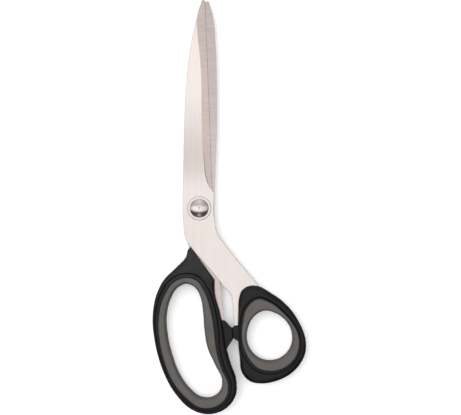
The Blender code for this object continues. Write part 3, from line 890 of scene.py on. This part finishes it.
def domed_bolt():
    """The bolt: a domed head with a dimple, a round shoulder and a thread shown as plain grooves."""
    head_low = WASHER_HIGH + HEAD_GAP
    shoulder_low = FINGER_BLADE_LOW + 0.1
    profile = dome(head_low + HEAD_RIM) + [
        (HEAD_RADIUS, head_low + HEAD_CHAMFER), (HEAD_RADIUS - HEAD_CHAMFER, head_low),
        (SHOULDER_RADIUS, head_low), (SHOULDER_RADIUS, shoulder_low), (THREAD_RADIUS, shoulder_low),
    ]
    for i in range(THREAD_TURNS):
        height = FINGER_BLADE_LOW - THREAD_START - i * THREAD_PITCH
        profile += [(THREAD_RADIUS, height), (THREAD_ROOT, height - THREAD_PITCH / 2)]
    end = THREAD_RADIUS - 0.1
    profile += [(end, BOLT_LOW + THREAD_POINT), (end - THREAD_POINT, BOLT_LOW), (0, BOLT_LOW)]
    return turned("domed_bolt", profile)


def pivot():
    polished = polished_steel()
    piece(domed_bolt(), "finger_half", "pivot_steel", "pivot_bolt", polished)
    piece(ring_washer(), "finger_half", "pivot_steel", "head_washer", brushed_steel())
    piece(coned_washer(), "finger_half", "pivot_steel", "spring_washer", polished)
    piece(hexagon_nut(), "finger_half", "pivot_steel", "pivot_nut", polished)
    piece(plastic_washer(), "finger_half", "slip_washer", "slip_washer", white_nylon())


# Stage

CAMERA_DISTANCE = 0.8  # metres
PICTURE_WIDTH = 0.3006  # metres that the picture's long side takes in, at the blades' height
PICTURE_CENTRE = Vector((20.25, 0.5, 0))  # from the pivot's axis
FULL_FRAME = 36.0


def camera():
    data = bpy.data.cameras.new("camera")
    obj = bpy.data.objects.new("camera", data)
    bpy.context.scene.collection.objects.link(obj)
    data.sensor_width = FULL_FRAME
    data.lens = FULL_FRAME * CAMERA_DISTANCE / PICTURE_WIDTH
    obj.location = AXIS + PICTURE_CENTRE * MM + Vector((0, 0, CAMERA_DISTANCE + PIVOT.z))
    bpy.context.scene.camera = obj


def area_light(name, place, size, power):
    data = bpy.data.lights.new(name, "AREA")
    data.shape = "RECTANGLE"
    data.size, data.size_y = size
    data.energy = power
    obj = bpy.data.objects.new(name, data)
    bpy.context.scene.collection.objects.link(obj)
    obj.location = place
    obj.rotation_mode = "QUATERNION"
    obj.rotation_quaternion = (-Vector(place)).to_track_quat("-Z", "Y")
    return obj


TENT_BRIGHTNESS = 2.21
# The tent's brightness by a direction's part upwards, to the right, towards the tips, and across the opening
TENT_BY_HEIGHT = [(-1, 0.3), (0, 0.3), (0.2, 0.4), (0.35, 0.55), (0.6, 0.85), (0.85, 1.0), (1, 1.0)]
TENT_SIDEWAYS = [
    (-1, 1.0), (0.2, 1.0), (0.42, 0.8), (0.7, 0.78), (0.86, 0.8), (0.95, 0.45), (1, 0.1),
]
TENT_LENGTHWAYS = [(-1, 1.0), (0.16, 1.0), (0.34, 0.5), (0.6, 0.52), (0.85, 0.8), (1, 1.0)]
TENT_OPENING = [(-1, 0.9), (-0.96, 0.6), (-0.9, 0.08), (-0.62, 0.08), (-0.5, 0.15), (-0.38, 1.0), (1, 1.0)]
OPENING_BOW = 0.3  # how far the opening's upper edge rises to the sides
# Lights, as place and size in metres, and power in watts
SOFTBOX = ((-0.9, 0.5, 1.6), (1.4, 1.4), 12)
WINDOW = ((-0.04, -0.79, 0.61), (0.34, 0.34), 0.22)
FLOOR_SIZE = 8
FLOOR_GLOW = 0.2  # the table is white acrylic, dimly lit from below


def bowed(tree, x, y):
    """Y less a share of X squared, so that what is straight in it is an arch."""
    square = tree.nodes.new("ShaderNodeMath")
    square.operation = "POWER"
    square.inputs[1].default_value = 2
    tree.links.new(x, square.inputs[0])
    less = tree.nodes.new("ShaderNodeMath")
    less.operation = "MULTIPLY_ADD"
    less.inputs[1].default_value = -OPENING_BOW
    tree.links.new(square.outputs["Value"], less.inputs[0])
    tree.links.new(y, less.inputs[2])
    return less.outputs["Value"]


def surroundings():
    """A white tent: brightest overhead, dim low down, and dark where it opens towards the bows."""
    world = bpy.data.worlds.new("tent")
    bpy.context.scene.world = world
    world.use_nodes = True
    tree = world.node_tree
    background = tree.nodes["Background"]
    background.inputs["Strength"].default_value = TENT_BRIGHTNESS
    place = tree.nodes.new("ShaderNodeTexCoord")
    parts = tree.nodes.new("ShaderNodeSeparateXYZ")
    tree.links.new(place.outputs["Generated"], parts.inputs["Vector"])
    brightness = curve(tree, parts.outputs["Z"], TENT_BY_HEIGHT)
    x, y = parts.outputs["X"], parts.outputs["Y"]
    opening = bowed(tree, x, y)
    for value, stops in ((x, TENT_SIDEWAYS), (y, TENT_LENGTHWAYS), (opening, TENT_OPENING)):
        brightness = multiplied(tree, brightness, curve(tree, value, stops))
    tree.links.new(brightness, background.inputs["Color"])


def studio():
    bpy.context.scene.view_settings.view_transform = "Standard"
    bpy.ops.mesh.primitive_plane_add(size=FLOOR_SIZE)
    floor = bpy.context.object
    floor.name = "floor"
    n = Nodes("floor")
    paper = n.noise((4, 4, 4))
    colour = n.mix(n.span(paper, 0, 1), (0.93, 0.93, 0.93), (0.95, 0.95, 0.95))
    n.shader.inputs["Emission Color"].default_value = (1, 1, 1, 1)
    n.shader.inputs["Emission Strength"].default_value = FLOOR_GLOW
    floor.data.materials.append(n.finish(colour, n.span(paper, 0.9, 1.0), n.bump(paper, 0.001)))
    floor.visible_glossy = False
    surroundings()
    softbox = area_light("softbox", *SOFTBOX)
    softbox.visible_glossy = False
    area_light("window", *WINDOW)


camera()
studio()
blades()
bows()
pivot()
